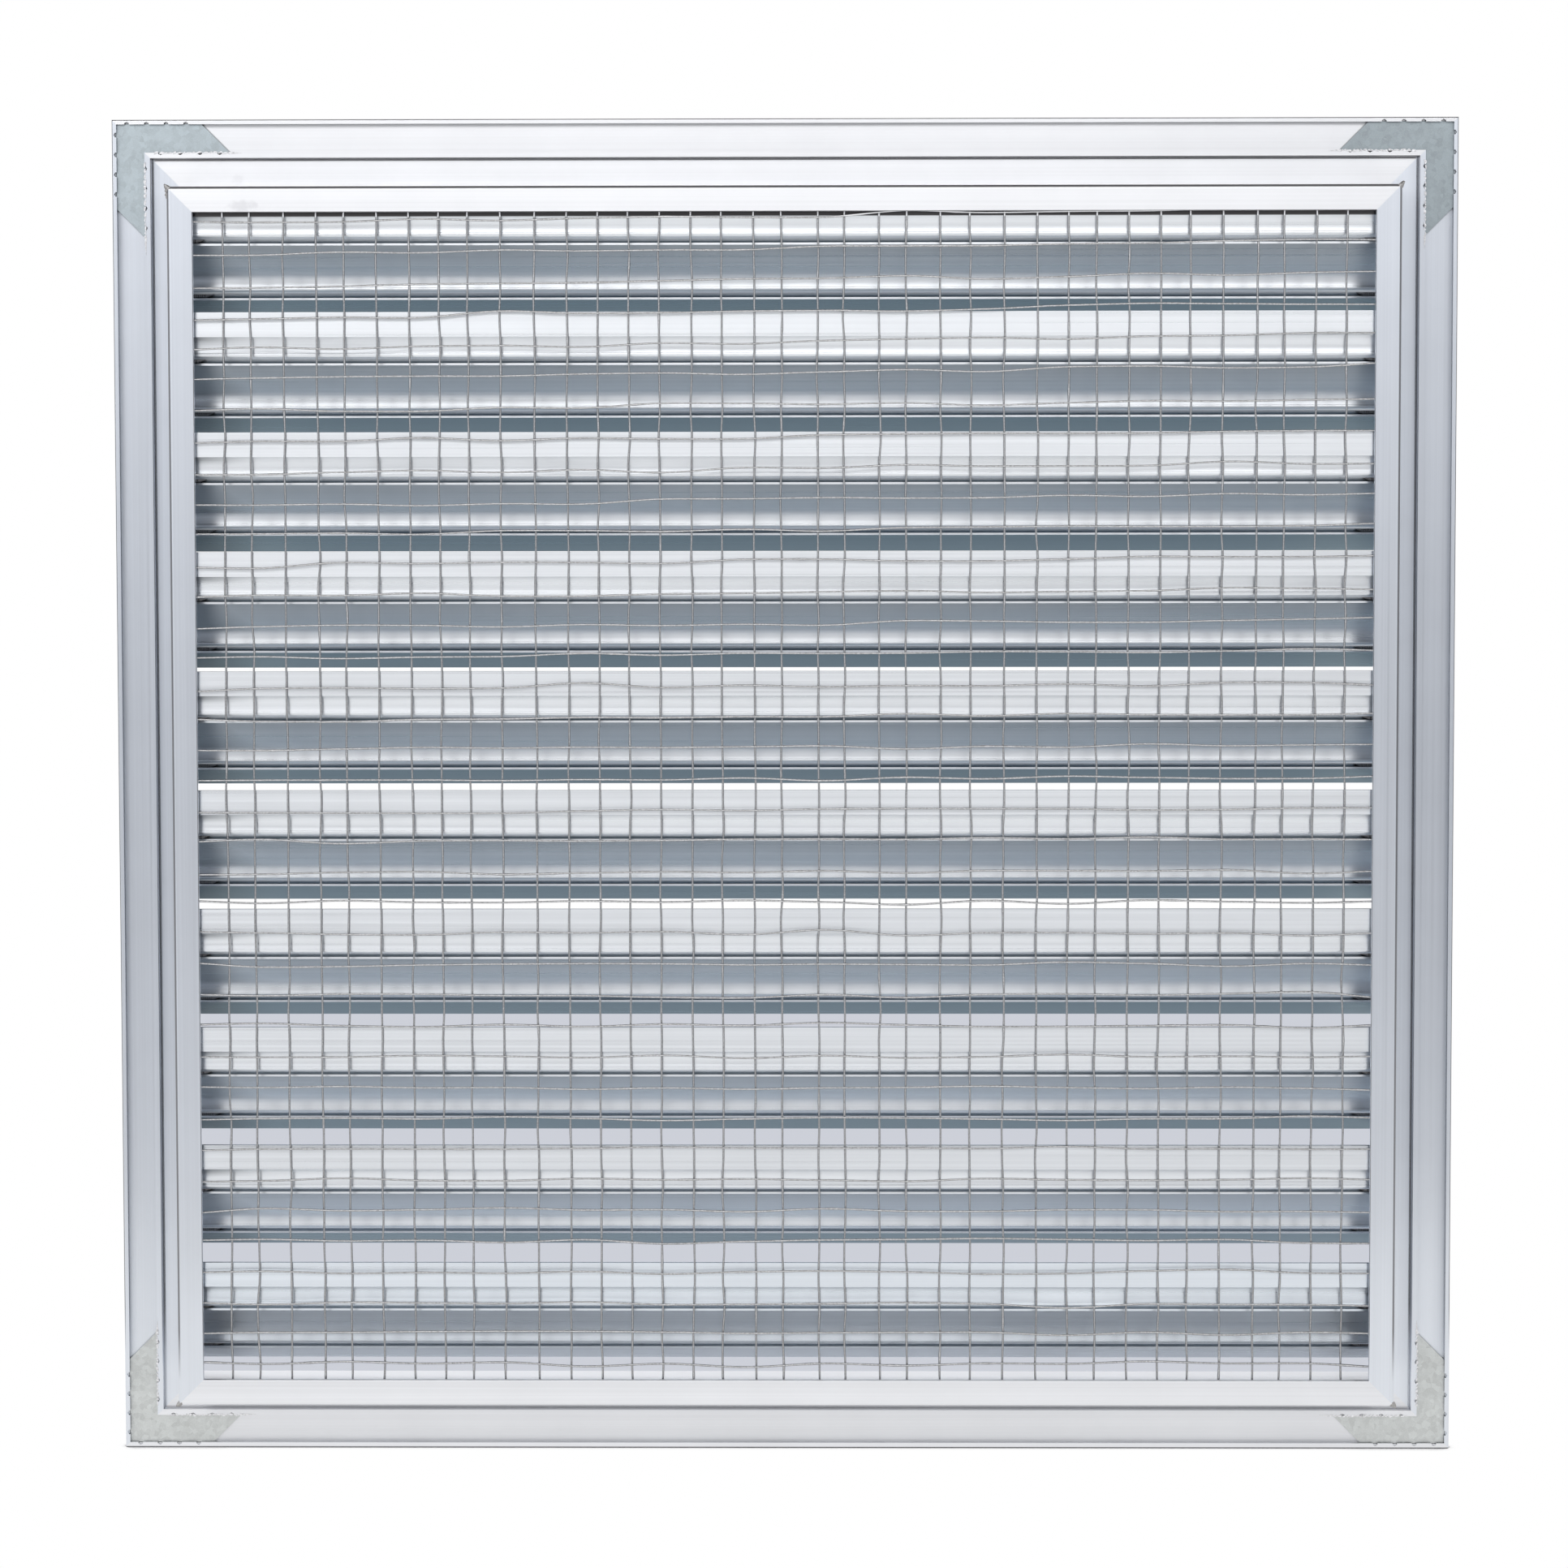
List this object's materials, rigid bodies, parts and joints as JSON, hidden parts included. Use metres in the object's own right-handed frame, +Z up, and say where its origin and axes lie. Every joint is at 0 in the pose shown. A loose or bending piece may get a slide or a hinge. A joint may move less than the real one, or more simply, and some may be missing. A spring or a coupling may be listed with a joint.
{
  "type": "gable vent",
  "caption": "Square flanged aluminium gable vent with fixed sloping louvre blades, staked corner keys and a welded wire screen behind its indoor lip.",
  "frame": {"origin": "centre of the wall opening, on the plane where the flange meets the wall's outer face", "axes": "+Z up, +Y outdoors, +X to the right of someone indoors"},
  "size_m": [0.5588, 0.0424, 0.5588],
  "materials": {
    "mill_aluminium": "satin",
    "blade_aluminium": "satin",
    "galvanised_sheet": "spangled zinc",
    "galvanised_wire": "zinc coated",
    "screw_steel": "zinc plated"
  },
  "bodies": {
    "root": {"frame_top": "mill_aluminium", "frame_bottom": "mill_aluminium", "frame_left": "mill_aluminium", "frame_right": "mill_aluminium", "corner_key_top_left": "galvanised_sheet", "corner_key_top_right": "galvanised_sheet", "corner_key_bottom_left": "galvanised_sheet", "corner_key_bottom_right": "galvanised_sheet", "louvre_blade_01": "blade_aluminium", "louvre_blade_02": "blade_aluminium", "louvre_blade_03": "blade_aluminium", "louvre_blade_04": "blade_aluminium", "louvre_blade_05": "blade_aluminium", "louvre_blade_06": "blade_aluminium", "louvre_blade_07": "blade_aluminium", "louvre_blade_08": "blade_aluminium", "louvre_blade_09": "blade_aluminium", "louvre_blade_10": "blade_aluminium", "wire_cloth": "galvanised_wire", "jamb_screws_left": "screw_steel", "jamb_screws_right": "screw_steel"}
  },
  "joints": []
}
